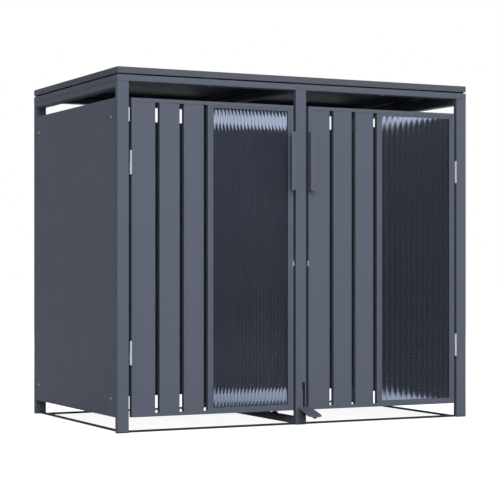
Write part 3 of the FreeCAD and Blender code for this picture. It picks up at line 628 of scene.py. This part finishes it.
def roof_screws():
    """A button head under the ring, a shank up through it and a nut above the channel."""
    shells, nut_below, shank = [], 10 * MM, 3 * MM
    for low, high in solids_of("roof_screws"):
        centre = np.array([*(low + high)[:2] / 2, 0.0])
        if high[2] - low[2] < nut_below:
            reach = (high[1] - low[1]) / 2
            rows = [(reach, low[2], 1), (reach, high[2], 1)]
        else:
            head = button_head(radius=5.5 * MM, height=1.6 * MM, socket=2 * MM)
            rows = [(shank, high[2] - 0.5 * MM), (shank, low[2])]
            rows += [(r, low[2] - h, *hexed) for r, h, *hexed in head]
        shells.append(turned(centre, 2, rows, SMALL_SIDES))
    return shells


formed("roof_screws", roof_screws(), "screw_steel", ease=0)


# Side and back panels, brackets and screws

SHEET, FOLD = 1.5 * MM, 15 * MM
BEND_RADII = np.array([2.2, 0.3, 0.3, 0.7, 0.7, 0.3, 0.3, 2.2]) * MM


def panel(node, across_axis, run_axis, inward):
    """A sheet whose top and bottom edges are folded in, carried along its width."""
    low, high = box_of(node)
    face = (low if inward > 0 else high)[across_axis]
    inside, fold = face + inward * SHEET, face + inward * FOLD
    z0, z1 = low[2], high[2]
    section = [(face, z0), (fold, z0), (fold, z0 + SHEET), (inside, z0 + SHEET),
               (inside, z1 - SHEET), (fold, z1 - SHEET), (fold, z1), (face, z1)]
    outline = rounded(section, BEND_RADII)
    return folded(outline, run_axis, low[run_axis], high[run_axis])


for node, *way in (("left_side_panel", 0, 1, 1), ("right_side_panel", 0, 1, -1),
                   ("back_left_panel", 1, 0, -1), ("back_right_panel", 1, 0, -1)):
    formed(node, [panel(node, *way)])

formed("panel_brackets", [slab(low, high, axis=int(np.argmin(high - low)), corner=4 * MM,
                               ease=0.4 * MM) for low, high in solids_of("panel_brackets")],
       ease=0)


def panel_screw(low, high):
    """A button-head screw along its longest axis, its head on the outer side."""
    axis = int(np.argmax(high - low))
    centre = (low + high) / 2
    outward = 1 if centre[axis] > 0 else -1
    tip, crown = (low[axis], high[axis]) if outward > 0 else (high[axis], low[axis])
    centre[axis] = 0
    shank, point, point_long, height = 2 * MM, 1.5 * MM, 0.6 * MM, 2 * MM
    seat = crown - outward * height
    head = button_head(radius=4 * MM, height=height, socket=1.5 * MM)
    rows = [(point, tip), (shank, tip + outward * point_long), (shank, seat)]
    rows += [(r, seat + outward * h, *hexed) for r, h, *hexed in head]
    return turned(centre, axis, rows, SMALL_SIDES)


formed("panel_screws", [panel_screw(*box) for box in solids_of("panel_screws")],
       "screw_steel", ease=0)


# Doors

LIP, DOOR_SHEET, DOOR_DEEP = 12 * MM, 2 * MM, 20 * MM


def leaf_frame(side):
    """The leaf's welded angle: its section, lip and wall, carried round the leaf."""
    low, high = box_of(f"{side}_door_frame")
    section = np.array([(0, 0), (LIP, 0), (LIP, DOOR_SHEET), (DOOR_SHEET, DOOR_SHEET),
                        (DOOR_SHEET, DOOR_DEEP), (0, DOOR_DEEP)])
    outline = rounded(section, np.array([1.2, 0.3, 0.3, 0.5, 0.3, 0.3]) * MM)
    inset = outline[:, 0]
    rects = np.stack([low[0] + inset, high[0] - inset, low[2] + inset, high[2] - inset], -1)
    return window_ring(rects, low[1] + outline[:, 1], outline[:, 2])


def slat(node):
    """An upright channel, open at the back."""
    (x0, y0, z0), (x1, y1, z1) = box_of(node)
    section = [(x0, y0), (x1, y0), (x1, y1), (x1 - SHEET, y1), (x1 - SHEET, y0 + SHEET),
               (x0 + SHEET, y0 + SHEET), (x0 + SHEET, y1), (x0, y1)]
    outline = rounded(section, np.array([2.2, 2.2, 0.3, 0.3, 0.7, 0.7, 0.3, 0.3]) * MM)
    return folded(outline, 2, z0, z1)


GLAZING_LAP, GROOVE = 5.5 * MM, 6 * MM
BEAD, BEAD_LIP = 8 * MM, 2 * MM


def glazing_frame(side):
    """The grooved frame round the glazing: a front lip, the groove and a back lip.

    Up to the groove's reach a section point stands off the opening by its own distance;
    beyond it, it moves evenly out to the frame's outer edge on each side.
    """
    low, high = box_of(f"{side}_glazing_frame")
    glass_low, glass_high = box_of(f"{side}_polycarbonate_panel")
    deep = high[1] - low[1]
    section = [(0, 0), (0, BEAD_LIP), (GROOVE, BEAD_LIP), (GROOVE, deep - BEAD_LIP),
               (0, deep - BEAD_LIP), (0, deep), (BEAD, deep), (BEAD, 0)]
    outline = rounded(section, np.array([0.8, 0.4, 0.3, 0.3, 0.4, 0.8, 0.3, 0.3]) * MM)
    wider = np.array([-1, 1, -1, 1])
    near = np.minimum(outline[:, 0], GROOVE)[:, None] * wider
    share = (np.maximum(outline[:, 0] - GROOVE, 0) / (BEAD - GROOVE))[:, None]
    opening = np.array([glass_low[0], glass_high[0], glass_low[2], glass_high[2]])
    opening = opening - GLAZING_LAP * wider
    outside = np.array([low[0], high[0], low[2], high[2]])
    rects = opening + near + (outside - (opening + GROOVE * wider)) * share
    return window_ring(rects, low[1] + outline[:, 1], outline[:, 2])


FLUTE_STEPS, FLUTE_POWER = 16, 1.7
FLUTES = {"left": {"pitch": 13.5 * MM, "lean": 0.35, "deep": 0.15},
          "right": {"pitch": 21.7 * MM, "lean": 0, "deep": 0.084}}


def fluted_sheet(side, pitch, lean, deep):
    """The glazing: flutes side by side, each a hollow between two ridges, with a flat back.

    At the share s from -1 to 1 across a flute the front face lies
    deep * pitch * (1 - q^FLUTE_POWER) below the ridges, where q falls evenly from 1 at one
    ridge to 0 at the deepest line, at s = m, and rises to 1 at the next. m falls evenly
    from lean at the sheet's left edge to -lean at its right edge.
    """
    low, high = box_of(f"{side}_polycarbonate_panel")
    count = round((high[0] - low[0]) / pitch)
    depth = deep * pitch
    x = np.linspace(low[0], high[0], count * FLUTE_STEPS + 1)
    s = (np.arange(len(x)) % FLUTE_STEPS) / FLUTE_STEPS * 2 - 1
    m = lean * (1 - 2 * (x - low[0]) / (high[0] - low[0]))
    q = np.where(s < m, (m - s) / (1 + m), (s - m) / (1 - m))
    front = np.stack([x, low[1] + depth * (1 - q ** FLUTE_POWER), np.zeros(len(x))], -1)
    back = np.stack([x, 0 * x + high[1], np.zeros(len(x))], -1)[::-1]
    return folded(np.vstack([front, back]), 2, low[2], high[2])


def handle(side):
    """A long angle: a leg on the meeting edge and a flange across the leaf's front."""
    low, high = box_of(f"{side}_handle")
    out = 1 if side == "right" else -1
    near = low[0] if out > 0 else high[0]
    far = high[0] if out > 0 else low[0]
    sheet = 2 * MM
    section = [(near, low[1]), (far, low[1]), (far, low[1] + sheet),
               (near + out * sheet, low[1] + sheet), (near + out * sheet, high[1]),
               (near, high[1])]
    outline = rounded(section, np.array([3, 0.5, 0.5, 1, 0.3, 0.3]) * MM)
    return folded(outline, 2, low[2], high[2])


for side in ("left", "right"):
    formed(f"{side}_door_frame", [leaf_frame(side)])
    for number in (1, 2, 3):
        node = f"{side}_door_slat_{number}"
        formed(node, [slat(node)])
    node = f"{side}_door_mullion"
    formed(node, [tube(2, *box_of(node), wall=1.5 * MM, corner=1.8 * MM)])
    formed(f"{side}_glazing_frame", [glazing_frame(side)])
    formed(f"{side}_polycarbonate_panel", [fluted_sheet(side, **FLUTES[side])],
           "polycarbonate", ease=0, finish=WIDE_SHEET if side == "right" else None)
    formed(f"{side}_handle", [handle(side)], ease=0.5 * MM)
    dress(f"{side}_latch_keeper", FINISHES["zinc_plate"])


# Hinges

BARREL, BORE, HINGE_SHEET, WEB_HALF = 4 * MM, 2.55 * MM, 2 * MM, 1.5 * MM
PIN_X, PIN_Y = 629 * MM, FRONT - 2 * MM
LEAF_EDGE_X, WEB_START_X, POST_SIDE_X = 625 * MM, PIN_X + 3.2 * MM, 635 * MM
LEAF_PLATE_FRONT, HINGE_BACK = PIN_Y + 1 * MM, PIN_Y + 18 * MM


def barrel(x, z0, z1):
    """A bored barrel with eased ends: the outer wall, then the bore back down."""
    ease = 0.5 * MM
    rows = [(BARREL - ease, z0), (BARREL, z0 + ease), (BARREL, z1 - ease),
            (BARREL - ease, z1), (BORE, z1), (BORE, z0)]
    return turned((x, PIN_Y, 0), 2, rows, ends="joined")


def plate(x0, x1, y0, y1, z0, z1):
    """An eased plate from X x0 to x1, in either order."""
    low, high = np.array([min(x0, x1), y0, z0]), np.array([max(x0, x1), y1, z1])
    return slab(low, high, axis=0, corner=1 * MM, ease=0.3 * MM)


def post_half(low, high):
    """Barrel, web to the post and plate on the post's side."""
    out = 1 if low[0] > 0 else -1
    post = out * POST_SIDE_X
    y0, y1, z0, z1 = PIN_Y - WEB_HALF, PIN_Y + WEB_HALF, low[2], high[2]
    return [barrel(out * PIN_X, z0, z1),
            plate(out * WEB_START_X, post, y0, y1, z0, z1),
            plate(post - out * HINGE_SHEET, post, y0, HINGE_BACK, z0, z1)]


def door_half(low, high):
    """Barrel and plate on the leaf's edge."""
    out = 1 if low[0] > 0 else -1
    leaf = out * LEAF_EDGE_X
    z0, z1 = low[2], high[2]
    return [barrel(out * PIN_X, z0, z1),
            plate(leaf, leaf + out * HINGE_SHEET, LEAF_PLATE_FRONT, HINGE_BACK, z0, z1)]


def hinge_pin(low, high):
    """A pin with domed ends, r = R cos a and h = rise sin a up to a small flat."""
    centre = np.array([*(low + high)[:2] / 2, 0.0])
    radius, rise, flat_from = (high[0] - low[0]) / 2, 0.8 * MM, 1.45
    dome = [(radius * np.cos(a), rise * (1 - np.sin(a)))
            for a in np.linspace(0, flat_from, 5)]
    rows = [(r, low[2] + h) for r, h in dome[::-1]] + [(r, high[2] - h) for r, h in dome]
    return turned(centre, 2, rows, SMALL_SIDES)


formed("hinge_post_halves", [shell for box in solids_of("hinge_post_halves")
                             for shell in post_half(*box)], "zinc_plate", ease=0)
formed("hinge_pins", [hinge_pin(*box) for box in solids_of("hinge_pins")],
       "zinc_plate", ease=0)
for side in ("left", "right"):
    node = f"{side}_hinge_door_halves"
    formed(node, [shell for box in solids_of(node) for shell in door_half(*box)],
           "zinc_plate", ease=0)


# Latch

PEDAL_BACK, PEDAL_FRONT = FRONT - 14 * MM, FRONT - 107 * MM
PEDAL_TOP, PEDAL_DROP, PEDAL_SHEET = 61 * MM, 25 * MM, 3 * MM
PEDAL_LEFT, PEDAL_RIGHT = -25 * MM, 29 * MM
PIN_RADIUS, PIN_END_RADIUS, PIN_END = 3 * MM, 2.2 * MM, 0.8 * MM


def pedal_surface(y):
    """The height of the plate's top, which falls evenly from its back to its front."""
    return PEDAL_TOP - PEDAL_DROP * (PEDAL_BACK - y) / (PEDAL_BACK - PEDAL_FRONT)


def foot_plate():
    """The pedal's plate: a tongue with round front corners and a left edge that draws in
    towards the post, sloping down to the front.

    Its loops run from the underside to the top; near either face they draw in by
    ease * (1 - sin a) at ease * (1 - cos a) from it.
    """
    ease, flare, draw_in = 0.9 * MM, 2.2 * MM, 10 * MM
    radii = np.array([20, 20, 1.6, 1.6]) * MM
    sine, cosine = quarter(4)
    inset, depth = ease * (1 - sine), ease * (1 - cosine)
    insets = np.concatenate([inset, inset[::-1]])
    drops = np.concatenate([depth, PEDAL_SHEET - depth[::-1]])
    loops = []
    for draw, drop in zip(insets, drops):
        corners = [(PEDAL_LEFT - flare + draw, PEDAL_FRONT + draw),
                   (PEDAL_RIGHT - draw, PEDAL_FRONT + draw),
                   (PEDAL_RIGHT - draw, PEDAL_BACK - draw),
                   (PEDAL_LEFT + draw_in + draw, PEDAL_BACK - draw)]
        outline = rounded(corners, radii - draw)
        loops.append(run(outline, 2, pedal_surface(outline[:, 1]) - drop)[0])
    return skin(loops)


def pedal_arm():
    """The arm from under the plate through the keyhole to the bar inside the post."""
    (x0, y1, z0), (x1, _, _) = box_of("latch_rod")
    arm_top = PEDAL_TOP - PEDAL_SHEET
    nose = PEDAL_BACK - (arm_top - z0) / PEDAL_DROP * (PEDAL_BACK - PEDAL_FRONT)
    section = [(y1, z0), (y1, arm_top), (PEDAL_BACK, arm_top), (nose, z0)]
    return folded(rounded(section, np.array([0.5, 0.5, 0.3, 1]) * MM), 0, x0, x1)


def rubber_stop():
    """The stop under the plate: a short cylinder with a round lower edge, whose last
    loop follows the plate's slope and stands a little way into it."""
    low, high = box_of("pedal_stop")
    centre = np.array([*(low + high)[:2] / 2, 0.0])
    radius, fillet, bite = (high[0] - low[0]) / 2, 1.6 * MM, 0.5 * MM
    rows = [(radius - fillet * (1 - sine), low[2] + fillet * (1 - cosine))
            for sine, cosine in zip(*quarter(4))]
    points, faces = turned(centre, 2, rows + [(radius, high[2])])
    top = points[-ROUND_SIDES:]
    top[:, 2] = pedal_surface(top[:, 1]) - PEDAL_SHEET + bite
    return points, faces


def coil():
    """The return spring: a round wire along a helix.

    At turn t the wire's centre is (R cos 2 pi t, R sin 2 pi t, pitch t), and the loop
    round it spans the outward way and the way square to that and to the wire. The second
    value is the spring's seat.
    """
    low, high = box_of("return_spring")
    turns, turn_steps, wire_sides, wire, radius = 6, 28, 10, 0.6 * MM, 4 * MM
    centre = np.array([*(low + high)[:2] / 2, low[2] + wire])
    t = np.linspace(0, turns, turns * turn_steps + 1)
    angle = 2 * np.pi * t
    rise = (high[2] - low[2] - 2 * wire) * t / turns
    out = np.stack([np.cos(angle), np.sin(angle), np.zeros(len(t))], -1)
    line = centre + out * radius + np.stack([0 * t, 0 * t, rise], -1)
    way = unit(np.gradient(line, axis=0))
    square = unit(np.cross(way, out))
    a = np.linspace(0, 2 * np.pi, wire_sides, endpoint=False)[None, :, None]
    rings = line[:, None] + wire * (out[:, None] * np.cos(a) + square[:, None] * np.sin(a))
    rings = np.concatenate([rings, np.zeros(rings.shape[:2] + (1,))], 2)
    return skin(rings), (*centre[:2], low[2])


formed("latch_pedal", [foot_plate(), pedal_arm()])
formed("pedal_stop", [rubber_stop()], "black_rubber", ease=0)
pin_low, pin_high = box_of("latch_pin")
pin_rows = [(PIN_END_RADIUS, pin_low[0]), (PIN_RADIUS, pin_low[0] + PIN_END),
            (PIN_RADIUS, pin_high[0] - PIN_END), (PIN_END_RADIUS, pin_high[0])]
formed("latch_pin", [turned(np.array([0, *(pin_low + pin_high)[1:] / 2]), 0, pin_rows)],
       "zinc_plate", ease=0)
# The latch rod takes the near-black coat, which is painted shade inside the keyhole.
dress("latch_rod", LATCH_ROD_PAINTED_SHADE)
dress("latch_guides", FINISHES["black_plastic"])
spring_shell, spring_seat = coil()
spring = formed("return_spring", [spring_shell], "spring_steel", ease=0)
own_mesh(spring)


# Floor, background, lamps and camera

def seen_rays(tree):
    """1 on camera, glossy and transmission rays, and 0 on the rest and after any dull
    surface."""
    path = tree.nodes.new("ShaderNodeLightPath").outputs
    seen = path["Is Camera Ray"]
    for kind in ("Is Glossy Ray", "Is Transmission Ray"):
        seen = maths(tree, "MAXIMUM", seen, path[kind])
    return maths(tree, "SUBTRACT", seen, path["Diffuse Depth"], clamp=True)


def through_glass(tree, plain, glazed):
    """The value plain, or glazed on transmission rays."""
    path = tree.nodes.new("ShaderNodeLightPath").outputs
    return maths(tree, "MULTIPLY_ADD", path["Is Transmission Ray"], glazed - plain, plain)


def pick_seen(tree, unseen, seen, output):
    """Send one shader or the other to an output, by whether the ray is seen."""
    pick = tree.nodes.new("ShaderNodeMixShader")
    for value, socket in zip((seen_rays(tree), unseen, seen), pick.inputs):
        tree.links.new(value, socket)
    tree.links.new(pick.outputs[0], tree.nodes[output].inputs["Surface"])


def studio_floor():
    """A wide pale floor that shows white where nothing shades it. Through the glazing it
    hardly glows, so the store's own shade is seen on it there."""
    reach = 40.0
    corners = np.array([(-reach, -reach, 0), (reach, -reach, 0), (reach, reach, 0),
                        (-reach, reach, 0)])
    mesh, floor = solid_mesh("studio_floor", corners, [(0, 1, 2, 3)])
    material = bpy.data.materials.new("studio_floor")
    material.use_nodes = True
    tree = material.node_tree
    tree.nodes.remove(tree.nodes["Principled BSDF"])
    bounce, pale = (tree.nodes.new("ShaderNodeBsdfDiffuse") for _ in range(2))
    bounce.inputs["Color"].default_value = (0.5, 0.5, 0.51, 1)
    glow = tree.nodes.new("ShaderNodeEmission")
    tree.links.new(through_glass(tree, plain=0.45, glazed=0.95), pale.inputs["Color"])
    tree.links.new(through_glass(tree, plain=0.925, glazed=0.06), glow.inputs["Strength"])
    both = tree.nodes.new("ShaderNodeAddShader")
    tree.links.new(pale.outputs[0], both.inputs[0])
    tree.links.new(glow.outputs[0], both.inputs[1])
    pick_seen(tree, bounce.outputs[0], both.outputs[0], "Material Output")
    mesh.materials.append(material)


def studio_sky(fill):
    """White where it is seen, and a plain even fill on everything else."""
    world = bpy.data.worlds.new("studio")
    bpy.context.scene.world = world
    world.use_nodes = True
    tree = world.node_tree
    seen = tree.nodes["Background"]
    seen.inputs["Color"].default_value = (1, 1, 1, 1)
    light = tree.nodes.new("ShaderNodeBackground")
    light.inputs["Color"].default_value = (0.86, 0.95, 1.1, 1)
    light.inputs["Strength"].default_value = fill
    pick_seen(tree, light.outputs[0], seen.outputs[0], "World Output")


def soft_lamp(name, place, target, size, power):
    """A square area lamp at a place, facing its target."""
    lamp = bpy.data.lights.new(name, "AREA")
    lamp.size = size
    lamp.energy = power
    thing = bpy.data.objects.new(name, lamp)
    thing.location = place
    facing = Vector(target) - Vector(place)
    thing.rotation_euler = facing.to_track_quat("-Z", "Y").to_euler()
    thing.visible_glossy = False
    bpy.context.scene.collection.objects.link(thing)


studio_floor()
studio_sky(fill=0.2)
soft_lamp("key", (-1.0, -6.8, 3.6), (0, 0, 0.5), size=6.0, power=490)
soft_lamp("side", (-6.5, -1.5, 2.8), (0, 0, 0.5), size=4.0, power=15)
soft_lamp("back", (2.0, 5.5, 4.0), (0, 0, 0.6), size=3.5, power=300)

eye = bpy.data.cameras.new("camera")
eye.lens = 117.8
eye.sensor_width = 36
eye.shift_y = 0.0320
eye.clip_end = 200
camera = bpy.data.objects.new("camera", eye)
camera.location = (-2.6605, -5.2846, 0.5425)
camera.rotation_euler = (np.radians(90), 0, np.radians(-26.579))
bpy.context.scene.collection.objects.link(camera)
bpy.context.scene.camera = camera
bpy.context.scene.view_settings.view_transform = "Standard"
bpy.context.scene.cycles.caustics_refractive = False
